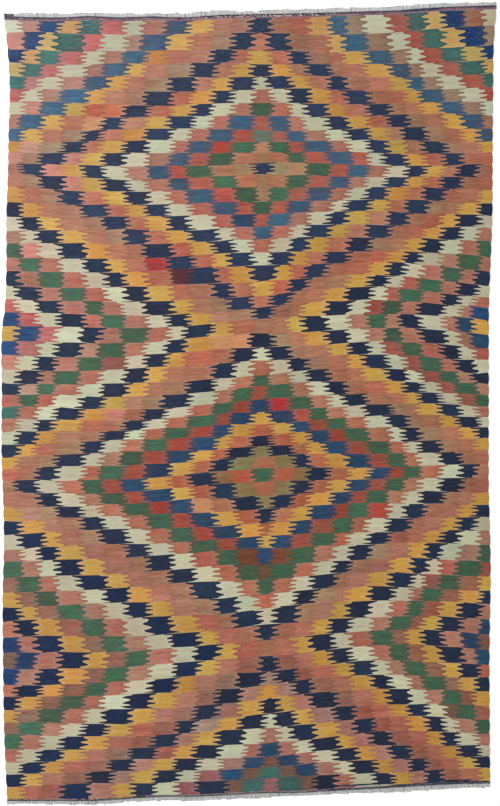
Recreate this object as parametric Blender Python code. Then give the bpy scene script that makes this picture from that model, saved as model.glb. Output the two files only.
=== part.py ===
"""A flat-woven wool kilim rug, lying flat and face up.

Frame, in metres: the underside lies on z = 0, +Y runs up the rug along its warps, +X runs across it,
and the origin is under the middle of the rug's bounding box.

Pieces, from the middle outwards: the woven field with its uneven selvedges, a line of twining that
locks the last weft at each end, and the cotton warps, cut off short past the twining.
"""

import random
from math import pi, sin

import bmesh
import bpy

MM = 0.001

# Driving sizes, in metres.
FIELD_THICKNESS = 0.0030
ROWS = 58                     # bands of colour blocks from end to end
SELVEDGE_NOTCH = 0.0022       # how far the selvedge draws in between two bands
POINTS_PER_ROW = 4            # outline points along one band's side
END_STEP = 0.022              # spacing of outline points along the two ends
GAP = 0.0003                  # between pieces that touch

TOP_TWINING_WIDTH = 0.0130    # two rows of twining, mauve and navy
BOTTOM_TWINING_WIDTH = 0.0070
TWINING_HEIGHT = 0.0036
TWINING_SHOULDER = 0.6        # share of the height at which its rounded top begins
TWINING_CROWN = 0.55          # share of the width that its top takes

LOCKS_PER_END = 150
LOCK_SHARE = 0.86             # of the pitch at the root, the rest is the gap beside it
BACKING_WIDTH = 0.0040
WARP_THICKNESS = 0.0022       # of the backing and of a lock at its root
TIP_THICKNESS = 0.0013
BEND_AT = 0.55                # share of a lock's length at which it bends and begins to thin
BEND_SHARE = 0.95             # its width there, as a share of its width at the root
TIP_SHARE = (0.38, 0.66)      # thinnest and fullest tip, as a share of the pitch
RAGGED = 0.0016               # how far a lock's length strays from the line of its neighbours
LEAN = 0.0014                 # how far a tip strays sideways
SHORTEST_LOCK = 0.0040
SEED = 7

# Where the selvedges run, in millimetres from the rug's middle. "row" counts bands from the top end.
SELVEDGE_COLUMNS = ("row", "left_x", "left_y", "right_x", "right_y")
SELVEDGES = (
    (0, -784.5, 1227.0, 791.5, 1260.5),
    (2, -774.2, 1137.4, 783.5, 1151.5),
    (5, -766.9, 1004.0, 781.6, 1011.0),
    (8, -770.4, 876.9, 780.3, 878.2),
    (12, -773.0, 732.0, 779.4, 724.0),
    (15, -777.8, 596.6, 778.7, 599.8),
    (19, -778.1, 421.6, 772.0, 421.6),
    (22, -784.5, 290.4, 767.8, 301.6),
    (23, -791.2, 244.0, 767.5, 260.0),
    (28, -792.5, 26.4, 767.5, 60.0),
    (33, -793.4, -170.4, 767.2, -114.7),
    (37, -787.4, -333.3, 767.5, -280.0),
    (40, -785.8, -469.1, 771.4, -411.7),
    (43, -789.6, -604.0, 773.3, -550.9),
    (48, -788.3, -850.1, 769.8, -789.0),
    (53, -784.5, -1064.8, 770.4, -1012.0),
    (58, -775.5, -1265.8, 771.7, -1210.1),
)

# Each end from left to right: how far along the rug the twining's middle and the cut ends reach.
END_COLUMNS = ("across", "twining", "cut")
TOP_END = (
    (-784.5, 1233.8, 1246.2),
    (-701.3, 1229.9, 1251.0),
    (-605.3, 1228.6, 1247.5),
    (-509.3, 1233.1, 1253.3),
    (-413.3, 1229.0, 1249.4),
    (-317.3, 1232.2, 1248.8),
    (-205.3, 1229.0, 1250.4),
    (-109.3, 1236.0, 1257.4),
    (2.7, 1238.9, 1255.2),
    (130.7, 1241.4, 1262.9),
    (258.7, 1244.6, 1264.8),
    (386.7, 1248.8, 1268.6),
    (482.7, 1252.0, 1270.6),
    (578.7, 1259.4, 1279.8),
    (674.7, 1264.2, 1282.1),
    (791.5, 1267.4, 1286.2),
)
BOTTOM_END = (
    (-775.5, -1269.6, -1284.0),
    (-605.3, -1269.8, -1285.6),
    (-477.3, -1269.0, -1285.0),
    (-413.3, -1265.1, -1278.6),
    (-349.3, -1260.0, -1275.0),
    (-285.3, -1256.8, -1272.8),
    (-157.3, -1255.2, -1272.2),
    (-61.3, -1250.4, -1268.6),
    (50.7, -1244.6, -1262.9),
    (162.7, -1243.4, -1257.4),
    (258.7, -1237.6, -1252.3),
    (386.7, -1231.2, -1247.8),
    (482.7, -1225.4, -1245.6),
    (578.7, -1220.0, -1240.2),
    (674.7, -1215.2, -1233.4),
    (771.7, -1213.9, -1231.2),
)


def read(table, columns, name, at):
    """A column's smooth value where the table's first column is at, by a cubic through its rows."""
    pick = columns.index(name)
    rows = [(row[0], row[pick]) for row in table]
    last = len(rows) - 2
    i = max(0, min(last, sum(1 for x, _ in rows if x <= at) - 1))
    (x0, y0), (x1, y1) = rows[i], rows[i + 1]
    span = x1 - x0
    slope = (y1 - y0) / span
    before = (y0 - rows[i - 1][1]) / (x0 - rows[i - 1][0]) if i > 0 else slope
    after = (rows[i + 2][1] - y1) / (rows[i + 2][0] - x1) if i < last else slope
    start, end = span * (before + slope) / 2, span * (slope + after) / 2
    t = (at - x0) / span
    along = y0 * (1 + 2 * t) * (1 - t) ** 2 + y1 * t * t * (3 - 2 * t)
    return along + start * t * (1 - t) ** 2 - end * t * t * (1 - t)


def steps_between(start, end, longest):
    """Evenly spaced values from start to end, both kept, no further apart than longest."""
    count = max(1, round(abs(end - start) / longest))
    return [start + (end - start) * i / count for i in range(count + 1)]


def end_line(table, across, offset):
    """A point of the line that runs beside the twining's middle at the given offset."""
    return across, read(table, END_COLUMNS, "twining", across / MM) * MM + offset


def selvedge(side, inwards):
    """One side of the field from its top end to its bottom end, drawn in a little between the bands."""
    points = []
    for i in range(ROWS * POINTS_PER_ROW + 1):
        row = i / POINTS_PER_ROW
        notch = SELVEDGE_NOTCH * (1 - abs(sin(pi * row)))
        x = read(SELVEDGES, SELVEDGE_COLUMNS, side + "_x", row) * MM
        y = read(SELVEDGES, SELVEDGE_COLUMNS, side + "_y", row) * MM
        points.append((x + inwards * notch, y))
    return points


def field_end(table, left, right, offset):
    """The field's own edge along one end, between the two selvedges' last points."""
    return [end_line(table, x, offset) for x in steps_between(left, right, END_STEP)[1:-1]]


def material(name, colour, roughness):
    """A matt fibre finish."""
    made = bpy.data.materials.new(name)
    made.use_nodes = True
    shader = made.node_tree.nodes["Principled BSDF"]
    shader.inputs["Base Color"].default_value = (*colour, 1)
    shader.inputs["Roughness"].default_value = roughness
    shader.inputs["Metallic"].default_value = 0
    return made


def finish(name, bm, finish_material):
    """Turn a worked shape into the scene's object of that name."""
    bmesh.ops.recalc_face_normals(bm, faces=bm.faces)
    mesh = bpy.data.meshes.new(name)
    bm.to_mesh(mesh)
    bm.free()
    mesh.materials.append(finish_material)
    made = bpy.data.objects.new(name, mesh)
    bpy.context.scene.collection.objects.link(made)
    return made


def raise_up(bm, faces, height):
    """Give flat faces on z = 0 their thickness."""
    grown = bmesh.ops.extrude_face_region(bm, geom=faces)["geom"]
    top = [item for item in grown if isinstance(item, bmesh.types.BMVert)]
    bmesh.ops.translate(bm, verts=top, vec=(0, 0, height))


def side_face(one, other):
    """The upright face of a raised strip that stands on the edge between two of its lower points."""
    shared = [face for face in one.link_faces if other in face.verts]
    return next(face for face in shared if any(vert.co.z > 0 for vert in face.verts))


def woven_field(wool):
    """The tapestry field: one flat sheet with the rug's own uneven outline."""
    left, right = selvedge("left", 1), selvedge("right", -1)
    top = field_end(TOP_END, left[0][0], right[0][0], -TOP_TWINING_WIDTH / 2 - GAP)
    bottom = field_end(BOTTOM_END, right[-1][0], left[-1][0], BOTTOM_TWINING_WIDTH / 2 + GAP)
    outline = top + right + bottom + left[::-1]
    bm = bmesh.new()
    face = bm.faces.new([bm.verts.new((x, y, 0)) for x, y in outline])
    raise_up(bm, [face], FIELD_THICKNESS)
    return finish("woven_field", bm, wool)


def twined_edge(name, table, width, yarn):
    """The low rounded line of twining across one end, worked along its wavy middle line."""
    half, crown = width / 2, width * TWINING_CROWN / 2
    shoulder = TWINING_HEIGHT * TWINING_SHOULDER
    profile = (
        (-half, 0),
        (-half, shoulder),
        (-crown, TWINING_HEIGHT),
        (crown, TWINING_HEIGHT),
        (half, shoulder),
        (half, 0),
    )
    path = [end_line(table, x, 0) for x in steps_between(table[0][0] * MM, table[-1][0] * MM, END_STEP)]
    bm = bmesh.new()
    x, y = path[0]
    cap = bm.faces.new([bm.verts.new((x, y + across, up)) for across, up in profile])
    ring = list(cap.edges)
    for here, there in zip(path, path[1:]):
        grown = bmesh.ops.extrude_edge_only(bm, edges=ring)["geom"]
        moved = [item for item in grown if isinstance(item, bmesh.types.BMVert)]
        ring = [item for item in grown if isinstance(item, bmesh.types.BMEdge)]
        bmesh.ops.translate(bm, verts=moved, vec=(there[0] - here[0], there[1] - here[1], 0))
    bmesh.ops.contextual_create(bm, geom=ring)
    return finish(name, bm, yarn)


def draw_out(bm, face, middle, narrowing, sideways, forwards, thickness):
    """Pull a lock's end face further out, narrowed about its middle, moved sideways and thinned."""
    face = bmesh.ops.extrude_discrete_faces(bm, faces=[face])["faces"][0]
    for vert in face.verts:
        vert.co.x = middle + (vert.co.x - middle) * narrowing + sideways
        vert.co.y += forwards
        vert.co.z = thickness if vert.co.z > 0 else 0
    return face


def warp_fringe(name, table, twining_width, outwards, cotton, dice):
    """The cut warps: a narrow strip along the twining, and locks drawn out from its outer side."""
    start, end = table[0][0] * MM, table[-1][0] * MM
    pitch = (end - start) / LOCKS_PER_END
    inner = outwards * (twining_width / 2 + GAP)
    outer = inner + outwards * BACKING_WIDTH
    edges = []
    for i in range(LOCKS_PER_END):
        left = start + pitch * (i + (1 - LOCK_SHARE) / 2)
        edges += [left, left + pitch * LOCK_SHARE]

    bm = bmesh.new()
    near = [bm.verts.new((*end_line(table, x, inner), 0)) for x in edges]
    far = [bm.verts.new((*end_line(table, x, outer), 0)) for x in edges]
    strip = [bm.faces.new((near[i], near[i + 1], far[i + 1], far[i])) for i in range(len(edges) - 1)]
    raise_up(bm, strip, WARP_THICKNESS)
    roots = [side_face(far[i], far[i + 1]) for i in range(0, len(edges), 2)]

    for i, root in enumerate(roots):
        middle = (edges[2 * i] + edges[2 * i + 1]) / 2
        cut = read(table, END_COLUMNS, "cut", middle / MM) * MM + dice.uniform(-RAGGED, RAGGED)
        length = max(SHORTEST_LOCK, outwards * (cut - end_line(table, middle, outer)[1]))
        lean = dice.uniform(-LEAN, LEAN)
        narrowing = dice.uniform(*TIP_SHARE) / (LOCK_SHARE * BEND_SHARE)
        bend = draw_out(bm, root, middle, BEND_SHARE, lean / 2, outwards * length * BEND_AT, WARP_THICKNESS)
        tip_length = outwards * length * (1 - BEND_AT)
        draw_out(bm, bend, middle + lean / 2, narrowing, lean / 2, tip_length, TIP_THICKNESS)
    return finish(name, bm, cotton)


def centre_on_origin(pieces):
    """Move all the pieces together so that the middle of their box is over the origin."""
    points = [vert.co for piece in pieces for vert in piece.data.vertices]
    middle_x = (min(p.x for p in points) + max(p.x for p in points)) / 2
    middle_y = (min(p.y for p in points) + max(p.y for p in points)) / 2
    for piece in pieces:
        piece.location = (-middle_x, -middle_y, 0)


def main():
    for old in list(bpy.data.objects):
        bpy.data.objects.remove(old)
    wool = material("Weft wool", (0.42, 0.24, 0.17), 0.9)
    yarn = material("Twining yarn", (0.08, 0.06, 0.13), 0.88)
    cotton = material("Warp cotton", (0.62, 0.63, 0.60), 0.92)
    dice = random.Random(SEED)

    woven_field(wool)
    twined_edge("twined_edge_top", TOP_END, TOP_TWINING_WIDTH, yarn)
    twined_edge("twined_edge_bottom", BOTTOM_END, BOTTOM_TWINING_WIDTH, yarn)
    warp_fringe("warp_fringe_top", TOP_END, TOP_TWINING_WIDTH, 1, cotton, dice)
    warp_fringe("warp_fringe_bottom", BOTTOM_END, BOTTOM_TWINING_WIDTH, -1, cotton, dice)
    centre_on_origin(bpy.context.scene.objects)


main()
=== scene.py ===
"""A flat-woven kilim rug lying face up: toothed wool tapestry, twined ends and cut cotton warps."""

import math
import random

import bpy
import numpy as np
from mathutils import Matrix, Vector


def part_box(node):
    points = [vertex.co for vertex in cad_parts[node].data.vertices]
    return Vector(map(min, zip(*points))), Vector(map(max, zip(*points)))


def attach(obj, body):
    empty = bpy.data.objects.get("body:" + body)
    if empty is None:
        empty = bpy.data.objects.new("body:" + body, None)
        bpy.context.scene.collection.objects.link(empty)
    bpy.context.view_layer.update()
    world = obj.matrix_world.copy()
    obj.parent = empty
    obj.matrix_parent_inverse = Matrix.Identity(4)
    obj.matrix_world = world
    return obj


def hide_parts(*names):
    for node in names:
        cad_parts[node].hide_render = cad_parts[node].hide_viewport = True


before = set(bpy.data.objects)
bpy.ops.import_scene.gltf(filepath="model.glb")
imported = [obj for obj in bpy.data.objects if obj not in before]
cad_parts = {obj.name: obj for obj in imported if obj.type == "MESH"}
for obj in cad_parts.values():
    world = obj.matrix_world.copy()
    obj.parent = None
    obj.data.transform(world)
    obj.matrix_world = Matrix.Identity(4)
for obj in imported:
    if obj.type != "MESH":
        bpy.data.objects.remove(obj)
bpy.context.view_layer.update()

# ---------------------------------------------------------------------------------------------------
# The woven field. Wool weft is beaten down over cotton warps so that only the wool shows. It is woven
# row by row in blocks of colour, and where two yarns meet they turn back around the same few warps,
# which gives every block its toothed sides. The weft turns back at both selvedges.
# ---------------------------------------------------------------------------------------------------
MM = 0.001
ROWS, COLUMNS = 58, 25
MIDDLE_COLUMN = 12
STEPS = 16  # mesh steps in the height of a row
ROW_HEIGHT = 43.2 * MM  # on average
THICKNESS = 3.0 * MM
SELVEDGE_THICKNESS = 1.6 * MM
SELVEDGE_ROUND = 0.12  # share of the outer columns that thins towards the selvedge
SELVEDGE_NOTCH = 2.2 * MM
TOOTH = 15.0 * MM  # how far the teeth reach past the line between two columns
FINE_SHARE = 0.6  # how long they are where two yarns of middling tone are interlocked pick by pick
TOOTH_STEPS = (2, 2, 3, 3, 3)  # how many mesh steps high a tooth is, each as likely as the next
DARK_FIRST = 0.75  # share of the joins in which the darker yarn makes the first tooth
TAPER = 0.5  # how much shorter a tooth is with each step away from its tip
SPREAD = 4.0 * MM  # how much wider the blocks of indigo and green are woven, on each side
LEAN = 9.5 * MM  # how far a join leans at a row's edges, towards where its block goes on
TOOTH_SHARE = 0.4  # the most that a tooth takes of the width of the block that it reaches into
SWAY = 3.5 * MM  # how far the line itself sways
WANDER = 6.0 * MM  # how far a row's blocks may miss it
UNEVEN = 1.5 * MM  # how far the beaten weft strays from a straight row
WAVE = 0.125 * MM  # how far each of two crossing waves lifts and lowers the face
TOP_TWINING, BOTTOM_TWINING = 13.0 * MM, 7.0 * MM
GAP = 0.3 * MM

# Where the weft's rows begin, in mm from the middle: at both selvedges, a quarter, half and three quarters
# of the way across. The weft dips and climbs a little, as on any hand-woven piece. left_x and right_x are
# where the two selvedges are.
LINE_COLUMNS = ("row", "left_x", "left", "quarter", "half", "three_quarter", "right", "right_x")
LINE_PLACES = (("left", 0), ("quarter", 6.5), ("half", 12.5), ("three_quarter", 18.5), ("right", COLUMNS))
WEFT_LINES = (
    (0, -784.5, 1227.0, 1223, 1232, 1239, 1260.5, 791.5),
    (2, -774.2, 1137.4, 1131, 1132, 1132, 1151.5, 783.5),
    (5, -766.9, 1004.0, 999, 1002, 999, 1011.0, 781.6),
    (8, -770.4, 876.9, 874, 876, 878, 878.2, 780.3),
    (12, -773.0, 732.0, 721, 729, 727, 724.0, 779.4),
    (15, -777.8, 596.6, 592, 608, 609, 599.8, 778.7),
    (19, -778.1, 421.6, 420, 436, 450, 421.6, 772.0),
    (22, -784.5, 290.4, 281, 306, 330, 301.6, 767.8),
    (23, -791.2, 244.0, 241, 268, 287, 260.0, 767.5),
    (28, -792.5, 26.4, 22, 50, 71, 60.0, 767.5),
    (33, -793.4, -170.4, -159, -137, -119, -114.7, 767.2),
    (37, -787.4, -333.3, -319, -292, -284, -280.0, 767.5),
    (40, -785.8, -469.1, -448, -425, -407, -411.7, 771.4),
    (43, -789.6, -604.0, -587, -562, -542, -550.9, 773.3),
    (48, -788.3, -850.1, -841, -807, -774, -789.0, 769.8),
    (53, -784.5, -1064.8, -1062, -1039, -1007, -1012.0, 770.4),
    (58, -775.5, -1265.8, -1255, -1244, -1222, -1210.1, 771.7),
)

# How wide the columns of blocks are, in mm, from the left selvedge to the right one. Towards the bottom end
# the warps drift to the right, most of all in the middle of the rug.
COLUMN_WIDTHS = (
    48, 63, 64, 77, 66, 71, 67, 73, 68, 75, 63, 67, 56, 62, 55, 68, 60, 65, 63, 57, 53, 62, 56, 58, 41
)
WARP_DRIFT = ((0, -16), (6, -17), (16, -7), (24, -1), (35, 6), (45, 14), (58, 24))  # row, mm to the right

# The two ends: the twining's middle line, and the line that the warps are cut along.
END_COLUMNS = ("across", "twining", "cut")
TOP_END = (
    (-784.5, 1233.8, 1246.2),
    (-701.3, 1229.9, 1251.0),
    (-605.3, 1228.6, 1247.5),
    (-509.3, 1233.1, 1253.3),
    (-413.3, 1229.0, 1249.4),
    (-317.3, 1232.2, 1248.8),
    (-205.3, 1229.0, 1250.4),
    (-109.3, 1236.0, 1257.4),
    (2.7, 1238.9, 1255.2),
    (130.7, 1241.4, 1262.9),
    (258.7, 1244.6, 1264.8),
    (386.7, 1248.8, 1268.6),
    (482.7, 1252.0, 1270.6),
    (578.7, 1259.4, 1279.8),
    (674.7, 1264.2, 1282.1),
    (791.5, 1267.4, 1286.2),
)
BOTTOM_END = (
    (-775.5, -1269.6, -1284.0),
    (-605.3, -1269.8, -1285.6),
    (-477.3, -1269.0, -1285.0),
    (-413.3, -1265.1, -1278.6),
    (-349.3, -1260.0, -1275.0),
    (-285.3, -1256.8, -1272.8),
    (-157.3, -1255.2, -1272.2),
    (-61.3, -1250.4, -1268.6),
    (50.7, -1244.6, -1262.9),
    (162.7, -1243.4, -1257.4),
    (258.7, -1237.6, -1252.3),
    (386.7, -1231.2, -1247.8),
    (482.7, -1225.4, -1245.6),
    (578.7, -1220.0, -1240.2),
    (674.7, -1215.2, -1233.4),
    (771.7, -1213.9, -1231.2),
)

# The dyes as they show in daylight, and how streaky each one has worn.
DYES = {
    "navy": ((33, 44, 67), 0.45),
    "midnight": ((22, 38, 68), 0.45),
    "ink": ((40, 52, 78), 0.45),
    "indigo": ((26, 56, 100), 0.5),
    "azure": ((38, 72, 114), 0.6),
    "blue": ((40, 67, 95), 0.6),
    "pale blue": ((60, 87, 111), 0.6),
    "green": ((63, 94, 72), 0.5),
    "sage": ((94, 114, 96), 0.5),
    "teal": ((60, 99, 92), 0.5),
    "white": ((186, 182, 153), 0.25),
    "yellow": ((193, 146, 69), 0.45),
    "ochre": ((182, 132, 64), 0.45),
    "straw": ((192, 152, 86), 0.45),
    "pink": ((168, 109, 90), 0.8),
    "rose": ((176, 98, 92), 0.8),
    "blush": ((187, 123, 106), 0.7),
    "mauve": ((165, 114, 100), 0.8),
    "fawn": ((152, 116, 94), 0.7),
    "plum": ((150, 88, 88), 0.8),
    "salmon": ((172, 107, 83), 0.8),
    "apricot": ((192, 126, 88), 0.6),
    "coral": ((163, 86, 70), 0.8),
    "scarlet": ((176, 86, 64), 0.6),
    "orange": ((168, 98, 71), 0.6),
    "brick": ((147, 70, 54), 0.7),
    "russet": ((146, 80, 68), 0.7),
    "red": ((160, 48, 50), 0.4),
    "maroon": ((94, 48, 53), 0.4),
    "peach": ((174, 119, 88), 0.7),
    "sand": ((154, 124, 88), 0.6),
    "tan": ((156, 109, 84), 0.9),
    "rust": ((144, 96, 79), 0.9),
    "brown": ((142, 93, 75), 0.8),
    "umber": ((114, 82, 68), 0.7),
    "chestnut": ((110, 70, 48), 0.7),
    "khaki": ((131, 111, 73), 0.7),
}

COLD = {"navy", "midnight", "ink", "indigo", "azure", "blue", "pale blue", "green", "sage", "teal"}
COARSE = {"navy", "midnight", "ink", "white", "yellow", "ochre", "straw"}  # dyes of yarns with long teeth

# Each stepped diamond grows from its middle block in rings, one block wide. Three diamonds stand on the
# middle column, and half diamonds on both selvedges fill the corners between them.
MAIN_DIAMONDS = {
    11: "ink sand peach green coral pale_blue pink white ink yellow salmon ink tan",
    35: "green orange khaki navy orange yellow blue brick green salmon white navy tan",
    59: "navy tan plum teal umber blue mauve white navy yellow mauve navy rust",
}
LEFT_DIAMONDS = {
    -1: "blue white blush indigo straw teal rose white pink pale_blue yellow salmon tan",
    23: "yellow azure rose white navy pink green pink white navy yellow salmon tan",
    47: "umber indigo pink midnight yellow brown green pink white midnight yellow pink rust",
}
RIGHT_DIAMONDS = {
    -1: "blue white fawn indigo straw teal coral white fawn pale_blue yellow salmon tan",
    23: "yellow blue pink white navy pink green pink white navy yellow salmon tan",
    47: "umber blue pink navy yellow brown green pink white navy yellow pink rust",
}
REPAIRS = {  # blocks woven or darned with another yarn, by column and row
    "green": ((0, 6),),
    "sage": ((0, 8),),
    "red": ((-5, 18), (1, 29)),
    "maroon": ((-4, 19),),
    "blush": ((-9, 10), (-10, 11), (-9, 12), (-12, 10), (-11, 9), (-11, 6), (-7, 29), (-11, 17), (-12, 25)),
    "apricot": ((-3, 37), (-1, 24), (-2, 24), (-8, 7), (-7, 6)),
    "scarlet": ((1, 20),),
    "coral": ((-3, 41), (6, 38), (2, 30)),
    "russet": ((6, 22), (7, 25), (8, 26), (9, 27), (10, 28), (11, 29), (-7, 25), (9, 43)),
    "umber": ((10, 52),),
    "chestnut": ((-1, 41), (1, 41), (0, 42)),
    "plum": ((-4, 57), (-3, 56), (0, 57)),
    "mauve": ((3, 56),),
    "fawn": ((7, 2),),
    "pink": ((-1, 0), (-3, 2)),
    "navy": ((-3, 57), (3, 57)),
    "blue": ((-1, 15),),
    "azure": ((12, 22),),
    "teal": ((-12, 29),),
    "midnight": ((-10, 54), (-11, 55), (-12, 56), (-9, 57)),
    "straw": ((3, 0), (4, 1)),
    "ochre": ((6, 56),),
}

# A few picks of another yarn: the row, their first and last step in it, and from where to where in mm.
STRAY_PICKS = (
    (57, 12, 12, -663, -610, "plum"),
    (57, 12, 13, 284, 380, "navy"),
    (57, 14, 15, 393, 450, "white"),
    (57, 13, 14, 590, 700, "navy"),
    (57, 15, 15, 450, 765, "navy"),
)

# How unlike each other the wools are, how they go paler across the rug, and how they have worn.
TONE_SPREAD, TONE_LIMIT, RED_SPREAD = 0.07, 0.11, 0.15  # between blocks of one dye
SHARED_DYE, OWN_DYE = 0.75, 0.66  # a madder wool's share in its neighbour's tone and in its own
PALE_MIX = (180, 190, 205)  # the pale blue-grey that the colours are mixed towards
LEFT_PALING, CORNER_PALING, TOP_PALING = 0.03, 0.05, 0.035
WEAR, TOP_WEAR = 0.05, 0.6  # of the indigo wools, all over and more at the top end

dice = random.Random(11)


def read(table, columns, name, at):
    """A column's smooth value where the table's first column is at, by a cubic through its rows."""
    pick = columns.index(name)
    rows = [(row[0], row[pick]) for row in table]
    last = len(rows) - 2
    i = max(0, min(last, sum(1 for x, _ in rows if x <= at) - 1))
    (x0, y0), (x1, y1) = rows[i], rows[i + 1]
    span = x1 - x0
    slope = (y1 - y0) / span
    before = (y0 - rows[i - 1][1]) / (x0 - rows[i - 1][0]) if i > 0 else slope
    after = (rows[i + 2][1] - y1) / (rows[i + 2][0] - x1) if i < last else slope
    start, end = span * (before + slope) / 2, span * (slope + after) / 2
    t = (at - x0) / span
    along = y0 * (1 + 2 * t) * (1 - t) ** 2 + y1 * t * t * (3 - 2 * t)
    return along + start * t * (1 - t) ** 2 - end * t * t * (1 - t)


def weft_reading(row, name):
    """A column of the weft's table where a row begins, in metres."""
    return read(WEFT_LINES, LINE_COLUMNS, name, row) * MM


def end_line(table, across, offset, name="twining"):
    """How far along the warps the line beside the twining's middle is, at the given offset."""
    return read(table, END_COLUMNS, name, across / MM) * MM + offset


def row_line(row, columns_across):
    """The line that a row of blocks begins on, at a place counted in columns from the left selvedge."""
    table = [(place, weft_reading(row, name)) for name, place in LINE_PLACES]
    return read(table, ("place", "y"), "y", columns_across)


def dye_of(column, row):
    """The dye of a block, counted from the middle column and the top row."""
    for name, blocks in REPAIRS.items():
        if (column, row) in blocks:
            return name
    diamonds = MAIN_DIAMONDS
    middle = min(diamonds, key=lambda middle_row: abs(row - middle_row))
    ring = abs(column) + abs(row - middle)
    if ring > MIDDLE_COLUMN:
        diamonds = LEFT_DIAMONDS if column < 0 else RIGHT_DIAMONDS
        middle = min(diamonds, key=lambda middle_row: abs(row - middle_row))
        ring = MIDDLE_COLUMN - abs(column) + abs(row - middle)
    return diamonds[middle].split()[ring].replace("_", " ")


def as_light(colour):
    """A colour on the 0 to 255 scale as the linear light that shaders work in."""
    return [((c / 255 + 0.055) / 1.055) ** 2.4 if c > 10 else c / 255 / 12.92 for c in colour]


def is_fine(left_dye, right_dye):
    """Whether two yarns are both of a middling tone, and are interlocked pick by pick."""
    return not {left_dye, right_dye} & COARSE


def teeth(left_dye, right_dye, lean):
    """How far the join between two blocks of a row is from its column line, at each step down the row. The
    two yarns reach into each other in turn, mostly the darker one first."""
    side = 1 if sum(DYES[left_dye][0]) <= sum(DYES[right_dye][0]) else -1
    if dice.random() > DARK_FIRST:
        side = -side
    offsets = []
    while len(offsets) < STEPS:
        count = dice.choice(TOOTH_STEPS)
        reach = TOOTH * side * dice.uniform(0.6, 1.3)
        tip = (count - 1) / 2 + dice.uniform(-0.6, 0.6)
        offsets += [reach * (1 - TAPER * abs(i - tip)) for i in range(count)]
        side = -side
    offsets = np.array(offsets[:STEPS])
    if is_fine(left_dye, right_dye):
        offsets *= FINE_SHARE
    slant = np.linspace(-1, 1, STEPS) ** 3 * LEAN * lean
    wider = (left_dye in COLD) - (right_dye in COLD)
    return offsets + slant + SPREAD * wider + dice.uniform(-WANDER, WANDER)


def lean_of(row, number):
    """Which way a column line leans in a row: 1 where the left block's dye goes on under the right one, -1
    where the right block's dye goes on under the left one."""
    below = dyes[min(row + 1, ROWS - 1)]
    return (below[number] == dyes[row][number - 1]) - (below[number - 1] == dyes[row][number])


dyes = [[dye_of(column - MIDDLE_COLUMN, row) for column in range(COLUMNS)] for row in range(ROWS)]
heights = np.arange(ROWS * STEPS + 1) / STEPS

# The column lines, three times over: as even as the loom keeps them, then with their sway and their teeth,
# and with the teeth alone on straight lines, which the ribs over the warps follow.
lines = np.zeros((len(heights), COLUMNS + 1))
shares = np.cumsum((0, *COLUMN_WIDTHS)) / sum(COLUMN_WIDTHS)
for level, height in enumerate(heights):
    notch = SELVEDGE_NOTCH * (1 - abs(math.sin(math.pi * height)))
    left = weft_reading(height, "left_x") + notch
    right = weft_reading(height, "right_x") - notch
    drift = read(WARP_DRIFT, ("row", "shift"), "shift", height) * MM
    lines[level] = left + shares * (right - left) + np.sin(math.pi * shares) * drift
even_lines = lines.copy()
widths = np.diff(lines.mean(0))
warps = np.tile(lines.mean(0), (len(heights), 1))
for number in range(1, COLUMNS):
    turn = dice.uniform(0, 2 * math.pi)
    lines[:, number] += SWAY * (np.sin(heights / 6.5 + turn) + 1.6 * np.sin(heights / 2.2 + 1.3 * number))
    for row in range(ROWS):
        steps = slice(row * STEPS, row * STEPS + STEPS)
        offset = teeth(dyes[row][number - 1], dyes[row][number], lean_of(row, number))
        offset = np.clip(offset, -TOOTH_SHARE * widths[number - 1], TOOTH_SHARE * widths[number])
        lines[steps, number] += offset
        warps[steps, number] += offset

# The places across: each column's left line and its middle, and one more close to each selvedge.
across = [(0, 0.0), (0, SELVEDGE_ROUND)]
for column in range(COLUMNS):
    across += [(column, 0.0), (column, 0.5)] if column else [(column, 0.5)]
across += [(COLUMNS - 1, 1 - SELVEDGE_ROUND), (COLUMNS - 1, 1.0)]
column_of = np.array([column for column, _ in across])
share_of = np.array([share for _, share in across])


def spread(values):
    """Values on the column lines, read at the places across."""
    return values[:, column_of] * (1 - share_of) + values[:, column_of + 1] * share_of


x = spread(lines)
even_x = spread(even_lines)
warp_x = spread(warps)

# The lines between the rows. They stray a little from block to block, and swell and dip along the way.
row_starts = np.array([[row_line(row, place) for place in column_of + share_of] for row in range(ROWS + 1)])
strays = np.random.default_rng(5).normal(0, UNEVEN, row_starts.shape)
column_place = column_of + share_of
midway = np.flatnonzero(share_of == 0.5)
strays[:, midway] = (strays[:, midway - 1] + strays[:, midway + 1]) / 2
strays += np.random.default_rng(6).normal(0, UNEVEN, (ROWS + 1, 1))
row_number = np.arange(ROWS + 1)[:, None]
strays += 2 * UNEVEN * np.sin(column_place / 1.7 + 1.1 * row_number)
strays += 1.3 * UNEVEN * np.sin(column_place / 2.9 - 0.8 * row_number)
strays[[0, -1]] = 0
strays[:, [0, -1]] = 0
row_starts += strays
for row, table, offset in (
    (0, TOP_END, -TOP_TWINING / 2 - GAP),
    (ROWS, BOTTOM_END, BOTTOM_TWINING / 2 + GAP),
):
    row_starts[row] = [end_line(table, place, offset) for place in even_x[row * STEPS]]
y = np.empty_like(x)
for level, height in enumerate(heights):
    row = min(int(height), ROWS - 1)
    starts = row_starts[row] + (height - row) * (row_starts[row + 1] - row_starts[row])
    y[level] = np.interp(x[level], even_x[level], starts)

# A sheet is added flat, with a face for each step of each half block, and its points go to their places.
bpy.ops.object.select_all(action="DESELECT")
bpy.ops.mesh.primitive_grid_add(x_subdivisions=len(across) - 1, y_subdivisions=len(heights) - 1, size=1)
field = bpy.context.object
field.name = field.data.name = "tapestry_field"
sheet = field.data
flat = np.empty(len(sheet.vertices) * 3)
sheet.vertices.foreach_get("co", flat)
flat = flat.reshape(-1, 3)
place = np.rint((flat[:, 0] + 0.5) * (len(across) - 1)).astype(int)
step = np.rint((0.5 - flat[:, 1]) * (len(heights) - 1)).astype(int)

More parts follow.
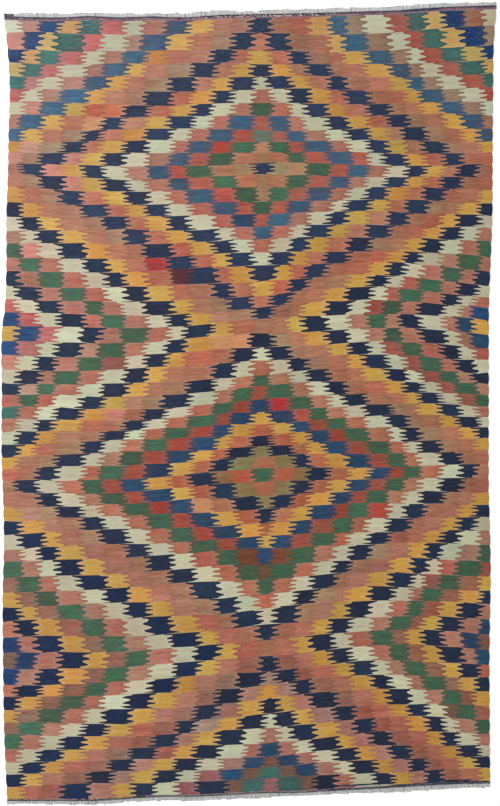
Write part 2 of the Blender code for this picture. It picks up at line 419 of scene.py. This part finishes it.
# The rug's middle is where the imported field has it.
low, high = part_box("woven_field")
middle_x = (x.min() + x.max() - low[0] - high[0]) / 2
middle_y = (y.min() + y.max() - low[1] - high[1]) / 2
x -= middle_x
y -= middle_y
wave = np.sin(x * 9 + 2 * np.sin(y * 5)) + np.sin(y * 7 + 1.5 * np.sin(x * 6)) + 2
inside = np.ones_like(x)
inside[:, [0, -1]] = inside[[0, -1]] = 0
z = THICKNESS - (THICKNESS - SELVEDGE_THICKNESS) / 2 * (1 - inside) + wave * WAVE
sheet.vertices.foreach_set("co", np.stack([x, y, z], 2)[step, place].ravel())

# The yarns' places in the weave, the dye of each face and how streaky it is.
weave = sheet.attributes.new("weave", "FLOAT_VECTOR", "POINT")
weave_y = heights[:, None] * ROW_HEIGHT + np.zeros_like(x)
at = np.stack([warp_x, weave_y, np.zeros_like(x)], 2)[step, place]
weave.data.foreach_set("vector", at.ravel())

corners = np.empty(len(sheet.loops), dtype=int)
sheet.loops.foreach_get("vertex_index", corners)
corners = corners.reshape(-1, 4)
first_place = place[corners].min(1)
first_step = step[corners].min(1)
face_column = column_of[first_place]
face_row = first_step // STEPS

# Each block's wool has a tone and a redness of its own. Madder wools that lie side by side in a row were
# often spun and dyed together.
dye_rng = np.random.default_rng(3)
tones = np.clip(dye_rng.normal(0, TONE_SPREAD, (ROWS, COLUMNS)), -TONE_LIMIT, TONE_LIMIT)
reds = dye_rng.normal(0, RED_SPREAD, (ROWS, COLUMNS))
madder = np.array([[name not in COLD | COARSE for name in names] for names in dyes])
for column in range(1, COLUMNS):
    together = madder[:, column] & madder[:, column - 1]
    for values in (tones, reds):
        shared = SHARED_DYE * values[:, column - 1] + OWN_DYE * values[:, column]
        values[together, column] = shared[together]

# The colours are mixed towards a pale blue-grey at the left and the top, most of all at the top left corner,
# and pale dyes more than dark ones.
colours = np.zeros((ROWS, COLUMNS, 4))
for row in range(ROWS):
    for column in range(COLUMNS):
        colour, streaky = DYES[dyes[row][column]]
        left = max(0.0, 1 - (column + 0.5) / (COLUMNS / 2))
        top = math.exp(-row / 9)
        paling = LEFT_PALING * left + CORNER_PALING * left * top
        paling += TOP_PALING * top * min(1, (COLUMNS - column) / 6)
        paling *= 0.35 + 0.65 * colour[0] / 190
        paled = np.array(as_light(colour)) * (1 - paling) + np.array(as_light(PALE_MIX)) * paling
        tone = 1 + tones[row, column]
        redder = reds[row, column] * streaky
        tint = 1 + dye_rng.normal(0, 0.015, 3) + np.array((-0.2 * redder, redder, redder))
        colours[row, column, :3] = paled * tone * tint
        colours[row, column, 3] = streaky
face_step = first_step % STEPS
face_x = x[first_step, first_place] + middle_x
face_colours = colours[face_row, face_column]
for row, first, last, start, end, name in STRAY_PICKS:
    stray = (face_row == row) & (face_step >= first) & (face_step <= last)
    stray &= (face_x > start * MM) & (face_x < end * MM)
    face_colours[stray, :3] = as_light(DYES[name][0])
dye = sheet.attributes.new("dye", "FLOAT_COLOR", "FACE")
dye.data.foreach_set("color", face_colours.ravel())


def soft(difference):
    """A difference with its sign kept and its size evened out, so that small ones count as well."""
    return np.sign(difference) * np.abs(difference) ** 0.8


# Where a light and a dark yarn meet, the light one shows cleaner and the dark one darker. So each face has
# how much lighter its block is than the one beside it and the one above or below it, and each point has how
# near it is to those two joins.
light = np.pad(np.sqrt(colours[:, :, :3].mean(2)), 1, "edge")
right_half = share_of[first_place] >= 0.5
own = light[face_row + 1, face_column + 1]
beside = light[face_row + 1, face_column + np.where(right_half, 2, 0)]
row_beyond = face_row + (face_step == STEPS - 1) * 1 - (face_step == 0) * 1
beyond = light[row_beyond + 1, face_column + 1]
beside_column = np.clip(face_column + np.where(right_half, 1, -1), 0, COLUMNS - 1)
fine = np.array([is_fine(dyes[r][c], dyes[r][d]) for r, c, d in zip(face_row, face_column, beside_column)])
beside_dye = np.column_stack([colours[face_row, beside_column, :3], fine])
beside_wool = sheet.attributes.new("beside", "FLOAT_COLOR", "FACE")
beside_wool.data.foreach_set("color", beside_dye.ravel())
contrast = sheet.attributes.new("contrast", "FLOAT_VECTOR", "FACE")
contrasts = np.stack([soft(own - beside), soft(own - beyond), 0 * own], 1)
contrast.data.foreach_set("vector", contrasts.ravel())
join = sheet.attributes.new("join", "FLOAT_VECTOR", "POINT")
nearness = np.stack([((share_of == 0) & (column_of > 0))[place], step % STEPS == 0, 0 * step], 1)
join.data.foreach_set("vector", nearness.astype(float).ravel())

# How worn each block's wool is, and a number of its own that keeps its streaks apart from its neighbours'.
worn = sheet.attributes.new("worn", "FLOAT", "FACE")
indigo = np.array([[name in COLD for name in names] for names in dyes])
near_top = np.exp(-np.arange(ROWS)[:, None] / 2.5)
wear = indigo * (WEAR + TOP_WEAR * near_top * dye_rng.random((ROWS, COLUMNS)) ** 2)
worn.data.foreach_set("value", wear[face_row, face_column])
skein = sheet.attributes.new("skein", "FLOAT", "FACE")
skeins = dye_rng.random((ROWS, COLUMNS))
skein.data.foreach_set("value", skeins[face_row, face_column])

# Its underside shows the same blocks, so both sides share one layout for the finish.
LAYOUT_INSET = 0.004  # how far the layout stays from the picture's edges
LAYOUT_EDGE = 0.0045  # what counts as lying on its own edge
RIM_STRIP = 0.003  # how wide the strip is
layout = sheet.uv_layers[0]
layout.name = "OFBake"
along = (y.max() - y) / (y.max() - y.min())
aside = (x - x.min()) / (x.max() - x.min())
spots = LAYOUT_INSET + (1 - 2 * LAYOUT_INSET) * np.stack([along, aside], 2)[step, place]
layout.uv.foreach_set("vector", spots[corners.ravel()].ravel())

# The thickness goes straight down from the face, and thins at the selvedges. Where the outline reaches
# furthest, the rim has a narrow strip of the layout. All the rest of it, which is nearly all, has no area in
# the layout, and takes the colours along the face's edge.
solid = field.modifiers.new("thickness", "SOLIDIFY")
solid.thickness = THICKNESS
solid.offset = -1
bpy.ops.object.modifier_apply(modifier=solid.name)
below = z - np.where(inside == 0, SELVEDGE_THICKNESS, THICKNESS)
both = np.concatenate([np.stack([x, y, side], 2)[step, place] for side in (z, below)])
sheet.vertices.foreach_set("co", both.ravel())
corners = np.empty(len(sheet.loops), dtype=int)
sheet.loops.foreach_get("vertex_index", corners)
layout = sheet.uv_layers["OFBake"]
spots = np.empty(len(corners) * 2)
layout.uv.foreach_get("vector", spots)
spots = spots.reshape(-1, 2)
first_of_rim = 2 * 4 * len(first_step)  # corner, after those of both sides' faces
lower = (np.arange(len(corners)) >= first_of_rim) & (corners >= len(step))
outside = (spots > 1 - LAYOUT_EDGE) * 1 - (spots < LAYOUT_EDGE) * 1
spots[lower] += RIM_STRIP * outside[lower]
layout.uv.foreach_set("vector", spots.ravel())
bpy.ops.object.shade_smooth_by_angle(angle=math.radians(50))


def new_material(name):
    """A material, with its node tree and its shader."""
    material = bpy.data.materials.new(name)
    material.use_nodes = True
    return material, material.node_tree, material.node_tree.nodes["Principled BSDF"]


def node(tree, kind, inputs=(), **settings):
    """A node of a kind, with its settings, and with each input linked to a socket or set to a value."""
    made = tree.nodes.new("ShaderNode" + kind)
    for name, value in settings.items():
        setattr(made, name, value)
    for name, value in dict(inputs).items():
        if isinstance(value, bpy.types.NodeSocket):
            tree.links.new(value, made.inputs[name])
        else:
            made.inputs[name].default_value = value
    return made


def sum_of(tree, operation, *terms):
    """The result of a sum on two or three terms."""
    return node(tree, "Math", enumerate(terms), operation=operation).outputs[0]


def noise(tree, places, stretch, detail=2.0, roughness=0.5):
    """A cloudy pattern of values around one half, stretched along an axis by a smaller scale there."""
    scaled = node(tree, "VectorMath", {0: places, 1: stretch}, operation="MULTIPLY").outputs[0]
    inputs = {"Vector": scaled, "Scale": 1.0, "Detail": detail, "Roughness": roughness}
    return node(tree, "TexNoise", inputs).outputs["Fac"]


def blend(tree, share, base, other):
    """A base colour with a share of another in it, which is a socket or a colour."""
    made = node(tree, "Mix", {"Factor": share}, data_type="RGBA", clamp_factor=True)
    tree.links.new(base, made.inputs["A"])
    if isinstance(other, bpy.types.NodeSocket):
        tree.links.new(other, made.inputs["B"])
    else:
        made.inputs["B"].default_value = (*as_light(other), 1)
    return made.outputs["Result"]


RIB = 3.1 * MM  # from warp to warp
PICK = 2.2 * MM  # from a weft's turn over a warp to the next but one
MINGLED = 0.32  # how much of each other's colour two finely interlocked yarns show where they meet
JOIN_SHADE = 0.08  # how much painted shade darkens both yarns in a join, as the shadow where they turn
TIP_DARKNESS = 1.3  # how much darker the dark yarn shows there
TIP_CLEANNESS = 0.7  # how much paler the light yarn shows there
RIM_SHARE = 0.4  # how much of that also shows above and below
SHADOW, CLEAN_WOOL, WORN_WOOL = (42, 36, 32), (222, 212, 204), (132, 158, 172)  # what these blend in

wool, tree, shader = new_material("field wool")
dye_in = node(tree, "Attribute", attribute_name="dye")
skein_in = node(tree, "Attribute", attribute_name="skein").outputs["Fac"]
weave_in = node(tree, "Attribute", attribute_name="weave").outputs["Vector"]
spot = node(tree, "SeparateXYZ", {0: weave_in})
own_depth = sum_of(tree, "MULTIPLY", skein_in, 40.0)
in_block = node(tree, "CombineXYZ", {0: spot.outputs[0], 1: spot.outputs[1], 2: own_depth}).outputs[0]

# Streaks and bands of uneven dye run with the weft, each within its own block. Where they are darker they
# are also redder, and the hue drifts a little all over.
streaks = noise(tree, in_block, (18.0, 210.0, 1.0), 3.0, 0.65)
bands = noise(tree, in_block, (7.0, 75.0, 1.0), 0.0)
band = sum_of(tree, "MULTIPLY", sum_of(tree, "SUBTRACT", bands, 0.5), 5.0)
band = node(tree, "Clamp", {"Value": band, "Min": -1.0, "Max": 1.0}).outputs[0]
uneven = sum_of(tree, "MULTIPLY_ADD", band, 0.07, sum_of(tree, "SUBTRACT", streaks, 0.5))
streak_depth = sum_of(tree, "MULTIPLY_ADD", dye_in.outputs["Alpha"], 0.75, 0.3)
streak = sum_of(tree, "MULTIPLY", uneven, streak_depth)
scaled = node(tree, "VectorMath", {0: in_block, 1: (32.0, 120.0, 1.0)}, operation="MULTIPLY").outputs[0]
hue = node(tree, "TexNoise", {"Vector": scaled, "Scale": 1.0, "Detail": 1.0}).outputs["Color"]
drift = node(tree, "VectorMath", {0: hue, 1: (0.5, 0.5, 0.5)}, operation="SUBTRACT").outputs[0]
cloud = noise(tree, weave_in, (5.0, 9.0, 1.0), 2.0)
cloudiness = sum_of(tree, "MULTIPLY", sum_of(tree, "SUBTRACT", cloud, 0.5), 0.25)
fibre = noise(tree, weave_in, (300.0, 900.0, 1.0), 1.0)
fibres = sum_of(tree, "MULTIPLY", sum_of(tree, "SUBTRACT", fibre, 0.5), 0.3)

# Each weft shows as a small bead where it passes over a warp, and the beads of neighbouring ribs alternate.
rib_count = sum_of(tree, "DIVIDE", spot.outputs[0], RIB)
rib_turn = sum_of(tree, "MULTIPLY", sum_of(tree, "FLOOR", rib_count), math.pi)
rib_round = sum_of(tree, "ABSOLUTE", sum_of(tree, "SINE", sum_of(tree, "MULTIPLY", rib_count, math.pi)))
pick_angle = sum_of(tree, "MULTIPLY_ADD", spot.outputs[1], 2 * math.pi / PICK, rib_turn)
pick_round = sum_of(tree, "MULTIPLY_ADD", sum_of(tree, "COSINE", pick_angle), 0.5, 0.5)
bead = sum_of(tree, "MULTIPLY", rib_round, sum_of(tree, "MULTIPLY_ADD", pick_round, 0.5, 0.5))
# Painted shade of the weave: the colour is lighter on the beads and darker in the crevices between them.
shade = sum_of(tree, "MULTIPLY_ADD", bead, 0.16, 0.92)

redness = node(tree, "VectorMath", {0: (0.8, 1.35, 1.25), "Scale": streak}, operation="SCALE").outputs[0]
even = sum_of(tree, "ADD", cloudiness, sum_of(tree, "ADD", fibres, shade))
tone = node(tree, "VectorMath", {0: redness, 1: even}, operation="ADD").outputs[0]
lightness = node(tree, "RGBToBW", {"Color": dye_in.outputs["Color"]}).outputs[0]
drifting = sum_of(tree, "MAXIMUM", sum_of(tree, "MULTIPLY_ADD", lightness, -2.8, 1.12), 0.2)
drift = node(tree, "VectorMath", {0: drift, "Scale": drifting}, operation="SCALE").outputs[0]
tone = node(tree, "VectorMath", {0: drift, 1: tone}, operation="ADD").outputs[0]

# The joins: yarns interlocked pick by pick blend into each other. The others show paler on the light side
# and darker on the dark side. All joins also lean towards painted shade, so that yarns of like tone both show
# a little darker there. Indigo wool wears first, which leaves pale specks in it.
join_in = node(tree, "Attribute", attribute_name="join").outputs["Vector"]
join_in = node(tree, "SeparateXYZ", {0: join_in})
beside_in = node(tree, "Attribute", attribute_name="beside")
mingling = sum_of(tree, "MULTIPLY", sum_of(tree, "POWER", join_in.outputs[0], 4.0), MINGLED)
mingling = sum_of(tree, "MULTIPLY", mingling, beside_in.outputs["Alpha"])
dyed = blend(tree, mingling, dye_in.outputs["Color"], beside_in.outputs["Color"])
toned = node(tree, "VectorMath", {0: dyed, 1: tone}, operation="MULTIPLY").outputs[0]
contrast_in = node(tree, "Attribute", attribute_name="contrast").outputs["Vector"]
contrast_in = node(tree, "SeparateXYZ", {0: contrast_in})
# Painted shade along the joins: the contrast is lowered, so both yarns show darker there.
across_join = sum_of(tree, "SUBTRACT", contrast_in.outputs[0], JOIN_SHADE)
sides = sum_of(tree, "MULTIPLY", sum_of(tree, "POWER", join_in.outputs[0], 3.5), across_join)
rims = sum_of(tree, "MULTIPLY", join_in.outputs[1], contrast_in.outputs[1])
meeting = sum_of(tree, "MULTIPLY_ADD", rims, RIM_SHARE, sides)
darker = blend(tree, sum_of(tree, "MULTIPLY", meeting, -TIP_DARKNESS), toned, SHADOW)
cleaner = blend(tree, sum_of(tree, "MULTIPLY", meeting, TIP_CLEANNESS), darker, CLEAN_WOOL)
worn_in = node(tree, "Attribute", attribute_name="worn").outputs["Fac"]
specks = noise(tree, weave_in, (160.0, 240.0, 1.0), 1.0)
specks = sum_of(tree, "MULTIPLY", sum_of(tree, "SUBTRACT", specks, 0.6), 9.0)
specks = node(tree, "Clamp", {"Value": specks}).outputs[0]
specked = blend(tree, sum_of(tree, "MULTIPLY", specks, worn_in), cleaner, WORN_WOOL)
tree.links.new(specked, shader.inputs["Base Color"])
relief = sum_of(tree, "ADD", bead, sum_of(tree, "MULTIPLY", fibre, 0.3))
bump = node(tree, "Bump", {"Strength": 0.5, "Distance": 0.5 * MM, "Height": relief})
tree.links.new(bump.outputs[0], shader.inputs["Normal"])
dryness = sum_of(tree, "MULTIPLY_ADD", fibre, 0.12, 0.84)
tree.links.new(dryness, shader.inputs["Roughness"])
shader.inputs["Specular IOR Level"].default_value = 0.12
shader.inputs["Sheen Weight"].default_value = 0.06
shader.inputs["Sheen Roughness"].default_value = 0.6
sheet.materials.clear()
sheet.materials.append(wool)

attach(field, "root")
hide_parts("woven_field")

# ---------------------------------------------------------------------------------------------------
# The twined ends. Pairs of coloured yarns are twisted around the warps, row above row, to lock the last
# weft at each end. Every half twist shows as one slanted bead of yarn.
# ---------------------------------------------------------------------------------------------------
TWINE_PITCH = 4.4 * MM
BEAD_LENGTH = 1.45 * TWINE_PITCH  # so that each bead slips under the next
BEAD_HEIGHT, BEAD_MIDDLE = 3.3 * MM, 1.75 * MM
TWINE_DYES = {
    "navy": (48, 48, 84),
    "blue": (52, 66, 112),
    "ink": (54, 50, 66),
    "charcoal": (74, 70, 78),
    "violet": (98, 72, 104),
    "mauve": (140, 102, 120),
    "rose": (154, 106, 114),
    "pale": (204, 182, 186),
    "taupe": (146, 122, 116),
    "slate": (58, 66, 66),
}


def bead_of_yarn():
    """One half twist of yarn, as it lies over a warp: a short slanted bead, 1 m long here."""
    bpy.ops.object.select_all(action="DESELECT")
    bpy.ops.mesh.primitive_uv_sphere_add(segments=6, ring_count=4, radius=0.5)
    bead = bpy.context.object
    bead.rotation_euler = (0, math.pi / 2, 0)
    bpy.ops.object.transform_apply(location=False, rotation=True, scale=False)
    bpy.ops.object.shade_smooth()
    return bead


def twined_rows(name, table, rows, seed):
    """Rows of beads along an end's middle line. Each row has an offset, a width, a slant and its yarns: for
    each of them where it ends, in mm from the rug's middle, and its dyes."""
    dice = random.Random(seed)
    pattern = bead_of_yarn()
    beads = []
    start, end = table[0][0] * MM, table[-1][0] * MM
    count = int((end - start) / TWINE_PITCH)
    for offset, size, slant, yarns in rows:
        turns = [dice.uniform(0, 2 * math.pi) for _ in range(2)]
        for i in range(count):
            across = start + (end - start) * (i + 0.5) / count
            dyes = next((names for until, names in yarns if across <= until * MM), None)
            if not dyes:
                continue
            bead = pattern.copy()
            bead.data = pattern.data.copy()
            bpy.context.collection.objects.link(bead)
            swell = 1 + 0.1 * math.sin(across * 31 + turns[0]) + 0.08 * math.sin(across * 83 + turns[1])
            width = size * swell * dice.uniform(0.88, 1.1)
            bead.scale = (BEAD_LENGTH, width, BEAD_HEIGHT)
            bead.rotation_euler = (0, 0, slant + dice.uniform(-0.12, 0.12))
            shift = dice.uniform(-0.6, 0.6) * MM
            along = end_line(table, across, offset + shift)
            bead.location = (across - middle_x, along - middle_y, BEAD_MIDDLE)
            colour = as_light(TWINE_DYES[dice.choice(dyes.split())])
            tone = dice.uniform(0.92, 1.08)
            dye = bead.data.attributes.new("dye", "FLOAT_COLOR", "FACE")
            face_colour = (*(channel * tone for channel in colour), 1)
            dye.data.foreach_set("color", face_colour * len(bead.data.polygons))
            beads.append(bead)
    bpy.data.objects.remove(pattern)
    bpy.ops.object.select_all(action="DESELECT")
    for bead in beads:
        bead.select_set(True)
    bpy.context.view_layer.objects.active = beads[0]
    bpy.ops.object.join()
    made = bpy.context.object
    bpy.ops.object.transform_apply(location=True, rotation=True, scale=True)
    made.name = made.data.name = name
    return made


yarn, tree, shader = new_material("twining yarn")
dye_in = node(tree, "Attribute", attribute_name="dye")
place_in = node(tree, "TexCoord").outputs["Object"]
plies = noise(tree, place_in, (900.0, 900.0, 900.0), 1.0)
tone = sum_of(tree, "MULTIPLY_ADD", plies, 0.5, 0.75)
toned = node(tree, "VectorMath", {0: dye_in.outputs["Color"], "Scale": tone}, operation="SCALE").outputs[0]
tree.links.new(toned, shader.inputs["Base Color"])
bump = node(tree, "Bump", {"Strength": 0.4, "Distance": 0.4 * MM, "Height": plies})
tree.links.new(bump.outputs[0], shader.inputs["Normal"])
shader.inputs["Roughness"].default_value = 0.88
shader.inputs["Specular IOR Level"].default_value = 0.2
shader.inputs["Sheen Weight"].default_value = 0.12

top_lower = (
    (-590, "mauve mauve rose"),
    (-330, "mauve violet mauve rose mauve"),
    (-180, "mauve mauve violet"),
    (300, "rose mauve mauve"),
    (800, "mauve mauve rose"),
)
top_middle = (
    (-700, "violet charcoal violet"),
    (-180, "mauve violet mauve mauve taupe"),
    (280, "pale violet rose pale charcoal"),
    (480, "violet mauve rose mauve"),
    (610, "blue violet mauve"),
    (800, "mauve rose violet mauve"),
)
top_upper = (
    (-700, "charcoal ink violet"),
    (-480, "ink charcoal navy slate"),
    (-180, "ink charcoal charcoal violet"),
    (280, "ink charcoal ink taupe"),
    (530, "ink charcoal ink navy violet"),
    (620, "blue navy ink"),
    (800, "charcoal ink violet"),
)
top_corner = ((-752, "violet charcoal charcoal taupe"),)
top_twining = twined_rows(
    "twining_top",
    TOP_END,
    (
        (-4.3 * MM, 3.9 * MM, 0.5, top_lower),
        (-0.4 * MM, 4.1 * MM, -0.5, top_middle),
        (3.8 * MM, 5.4 * MM, 0.5, top_upper),
        (8.2 * MM, 4.6 * MM, -0.5, top_corner),
        (12.4 * MM, 4.4 * MM, 0.5, top_corner),
    ),
    21,
)
bottom_upper = (
    (-500, "taupe rose taupe slate"),
    (-330, "slate taupe slate"),
    (250, "taupe mauve taupe"),
    (390, "navy blue navy"),
    (540, "navy slate navy"),
    (800, "navy ink navy"),
)
bottom_lower = ((-350, "slate slate charcoal"), (250, "slate charcoal slate"), (800, "navy slate ink"))
bottom_twining = twined_rows(
    "twining_bottom",
    BOTTOM_END,
    (
        (1.7 * MM, 3.4 * MM, 0.5, bottom_upper),
        (-1.6 * MM, 3.6 * MM, -0.5, bottom_lower),
    ),
    22,
)
for piece, solid_name in ((top_twining, "twined_edge_top"), (bottom_twining, "twined_edge_bottom")):
    piece.data.materials.clear()
    piece.data.materials.append(yarn)
    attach(piece, "root")
    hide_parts(solid_name)

# ---------------------------------------------------------------------------------------------------
# The cut warps. The undyed cotton warps that the whole rug is woven on stick out past the twining, cut
# off short. Each is a loose twist of a few plies, frayed at its cut end.
# ---------------------------------------------------------------------------------------------------
WARP_PITCH = 1.55 * MM
SPLIT_CHANCE = 0.012  # of a dark split after a warp
TUFT_CHANCE = 0.12  # of a step in the cut edge after a warp
TIP_START = 0.85  # share of a warp end's length
ROOT_DEPTH = 1.0 * MM  # how far under the twining a warp end begins


def warp_end(bend, splay):
    """One cut warp, 1 m long here and lying along Y: a thin tapered twist with a bend in it."""
    bpy.ops.object.select_all(action="DESELECT")
    bpy.ops.mesh.primitive_cylinder_add(vertices=5, radius=1, depth=1, end_fill_type="TRIFAN")
    strand = bpy.context.object
    bpy.ops.object.mode_set(mode="EDIT")
    bpy.ops.mesh.select_all(action="SELECT")
    for height in (-0.2, 0.15, 0.4):
        bpy.ops.mesh.select_all(action="SELECT")
        bpy.ops.mesh.bisect(plane_co=(0, 0, height), plane_no=(0, 0, 1))
    bpy.ops.object.mode_set(mode="OBJECT")
    for point in strand.data.vertices:
        up = point.co.z + 0.5
        width = 1 - 0.1 * up - 0.35 * max(0, up - TIP_START) / (1 - TIP_START)
        side = bend * math.sin(math.pi * up) + splay * up * up
        point.co = (point.co.x * width + side, up, point.co.y * width)
    bpy.ops.object.shade_smooth()
    return strand


def cut_warps(name, table, twining, outwards, brightness, seed):
    """The warp ends along one end of the rug, each of its own length, bend and lean. Their cut tips are
    painted darker, as the shade of the frayed ends, and much darker along some stretches. Here and there two
    neighbouring warps are darker."""
    dice = random.Random(seed)
    patterns = [warp_end(bend, splay) for bend, splay in ((0.4, 0.3), (-0.5, 0.2), (0.2, -0.6), (-0.3, -0.2))]
    start, end = table[0][0] * MM, table[-1][0] * MM
    count = int((end - start) / WARP_PITCH)
    ends = []
    split = tuft = 0
    for i in range(count):
        across = start + (end - start) * (i + 0.5) / count
        root = end_line(table, across, outwards * (twining / 2 - ROOT_DEPTH))
        if dice.random() < TUFT_CHANCE:
            tuft = dice.uniform(-3.0, 2.2)
        ragged = tuft + dice.uniform(-0.8, 0.6)
        cut = end_line(table, across, ragged * MM * outwards, "cut")
        pattern = dice.choice(patterns)
        strand = pattern.copy()
        strand.data = pattern.data.copy()
        bpy.context.collection.objects.link(strand)
        radius = dice.uniform(0.6, 0.95) * MM
        strand.scale = (radius, cut - root, radius * 0.8)
        strand.rotation_euler = (0, 0, dice.uniform(-0.06, 0.06))
        strand.location = (across - middle_x, root - middle_y, dice.choice((0.8, 1.4)) * MM)
        tone = brightness * dice.uniform(0.86, 1.04)
        # Painted shade on the cut tips: a little darker everywhere, much darker along some stretches.
        tip_shade = 0.5 if math.sin(across * 19 + seed) + math.sin(across * 43) > 1.0 else 0.88
        if split:
            split -= 1
            tone *= 0.5
        elif dice.random() < SPLIT_CHANCE:
            split = 2
        shade = strand.data.attributes.new("tone", "FLOAT", "POINT")
        tips = [point.co.y > TIP_START for point in strand.data.vertices]
        shade.data.foreach_set("value", [tone * (tip_shade if tip else 1) for tip in tips])
        ends.append(strand)
    for pattern in patterns:
        bpy.data.objects.remove(pattern)
    bpy.ops.object.select_all(action="DESELECT")
    for strand in ends:
        strand.select_set(True)
    bpy.context.view_layer.objects.active = ends[0]
    bpy.ops.object.join()
    made = bpy.context.object
    bpy.ops.object.transform_apply(location=True, rotation=True, scale=True)
    bpy.ops.object.mode_set(mode="EDIT")
    bpy.ops.mesh.select_all(action="SELECT")
    bpy.ops.mesh.normals_make_consistent(inside=False)
    bpy.ops.object.mode_set(mode="OBJECT")
    made.name = made.data.name = name
    return made


cotton, tree, shader = new_material("warp cotton")
tone_in = node(tree, "Attribute", attribute_name="tone").outputs["Fac"]
place_in = node(tree, "TexCoord").outputs["Object"]
# Painted shade: soft greyish-blue blotches over the warm white of the cotton.
shade_blotches = noise(tree, place_in, (25.0, 60.0, 1.0), 3.0)
fluff = noise(tree, place_in, (2500.0, 700.0, 1500.0), 1.0)
tint = node(tree, "ValToRGB", {0: shade_blotches})
tint.color_ramp.elements[0].position = 0.3
tint.color_ramp.elements[0].color = (*as_light((182, 190, 190)), 1)
tint.color_ramp.elements[1].position = 0.7
tint.color_ramp.elements[1].color = (*as_light((214, 210, 206)), 1)
tone = sum_of(tree, "MULTIPLY", tone_in, sum_of(tree, "MULTIPLY_ADD", fluff, 0.3, 0.85))
toned = node(tree, "VectorMath", {0: tint.outputs[0], "Scale": tone}, operation="SCALE").outputs[0]
tree.links.new(toned, shader.inputs["Base Color"])
bump = node(tree, "Bump", {"Strength": 0.4, "Distance": 0.3 * MM, "Height": fluff})
tree.links.new(bump.outputs[0], shader.inputs["Normal"])
shader.inputs["Roughness"].default_value = 0.92
shader.inputs["Specular IOR Level"].default_value = 0.2
shader.inputs["Sheen Weight"].default_value = 0.1

top_warps = cut_warps("warps_top", TOP_END, TOP_TWINING, 1, 1.08, 31)
bottom_warps = cut_warps("warps_bottom", BOTTOM_END, BOTTOM_TWINING, -1, 0.9, 32)
for piece, solid_name in ((top_warps, "warp_fringe_top"), (bottom_warps, "warp_fringe_bottom")):
    piece.data.materials.clear()
    piece.data.materials.append(cotton)
    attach(piece, "root")
    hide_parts(solid_name)

# ---------------------------------------------------------------------------------------------------
# The studio: a plain pale floor, soft light from all round, and a camera straight above the rug.
# ---------------------------------------------------------------------------------------------------
bpy.ops.object.select_all(action="DESELECT")
bpy.ops.mesh.primitive_plane_add(size=14, location=(0, 0, -0.2 * MM))
floor = bpy.context.object
floor.name = "floor"
paper, tree, shader = new_material("pale floor")
shader.inputs["Base Color"].default_value = (0.9, 0.9, 0.9, 1)
shader.inputs["Emission Color"].default_value = (1, 1, 1, 1)
shader.inputs["Emission Strength"].default_value = 0.25
shader.inputs["Roughness"].default_value = 0.9
shader.inputs["Specular IOR Level"].default_value = 0.1
floor.data.materials.append(paper)

world = bpy.data.worlds.new("studio")
bpy.context.scene.world = world
world.use_nodes = True
world.node_tree.nodes["Background"].inputs["Color"].default_value = (1, 1, 1, 1)
world.node_tree.nodes["Background"].inputs["Strength"].default_value = 0.45
for name, place, turn, size, power in (
    ("key", (-2.7, 0.9, 3.4), (-16, -38, 0), 2.4, 137),
    ("fill", (1.4, -1.4, 4.4), (18, 18, 0), 3.0, 30),
):
    lamp = bpy.data.lights.new(name, "AREA")
    lamp.size = size
    lamp.energy = power
    holder = bpy.data.objects.new(name, lamp)
    holder.location = place
    holder.rotation_euler = [math.radians(angle) for angle in turn]
    bpy.context.collection.objects.link(holder)

VIEW_HEIGHT = 806 * 3.2 * MM  # what the photograph's height takes in
VIEW_X, VIEW_Y = 2.7 * MM, 0.8 * MM  # its middle, in the measures that the outline is given in
lens = bpy.data.cameras.new("camera")
lens.sensor_fit = "VERTICAL"
lens.sensor_height = 36
lens.lens = 50
camera = bpy.data.objects.new("camera", lens)
distance = VIEW_HEIGHT / 2 * lens.lens / (lens.sensor_height / 2)
camera.location = (VIEW_X - middle_x, VIEW_Y - middle_y, distance + THICKNESS)
bpy.context.collection.objects.link(camera)
bpy.context.scene.camera = camera
bpy.context.scene.view_settings.view_transform = "Standard"
